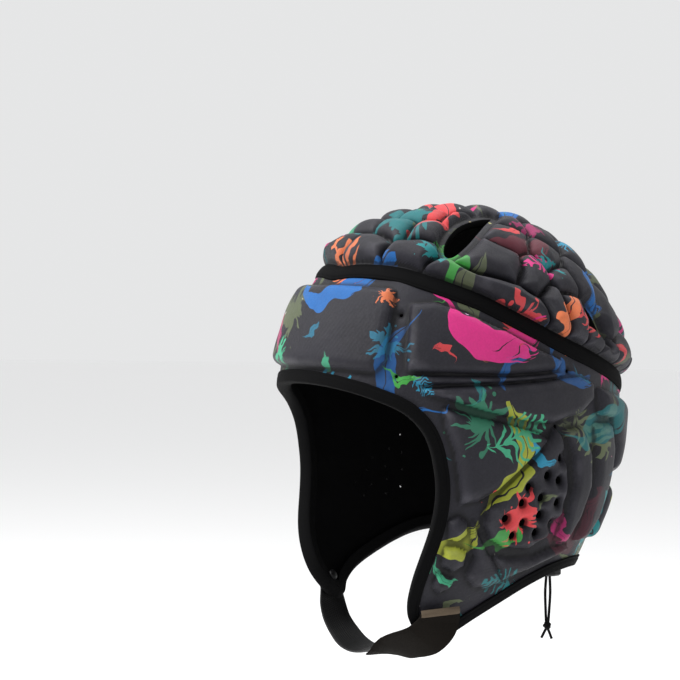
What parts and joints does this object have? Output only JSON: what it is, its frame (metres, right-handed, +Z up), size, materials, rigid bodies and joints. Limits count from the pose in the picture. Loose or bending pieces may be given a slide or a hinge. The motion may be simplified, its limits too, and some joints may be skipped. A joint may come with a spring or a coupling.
{
  "type": "rugby scrum cap",
  "caption": "Padded scrum cap with a lobed, vented crown, padded wrap and cheek flaps, taped seam, bound edge, webbing chin strap and drawcord at the nape.",
  "frame": {"origin": "where the inside of the crown sits on top of the head", "axes": "+Z up, -Y the way the wearer faces, +X the wearer's left"},
  "size_m": [0.174, 0.2106, 0.2537],
  "materials": {
    "printed_fabric": "knit over soft foam",
    "lining_fabric": "matt knit",
    "tape_fabric": "matt woven tape",
    "webbing": "ribbed webbing",
    "tab_fabric": "brushed loop cloth",
    "black_plastic": "moulded",
    "cord": "braided"
  },
  "bodies": {
    "root": {"crown_panel": "printed_fabric", "crown_lining": "lining_fabric", "wrap_panel": "printed_fabric", "wrap_lining": "lining_fabric", "crown_tape": "tape_fabric", "edge_binding": "tape_fabric", "chin_strap": "webbing", "strap_tab": "tab_fabric", "strap_stud": "black_plastic", "cord_lock": "black_plastic", "draw_cord_left": "cord", "draw_cord_right": "cord", "cord_knot": "cord"}
  },
  "joints": []
}
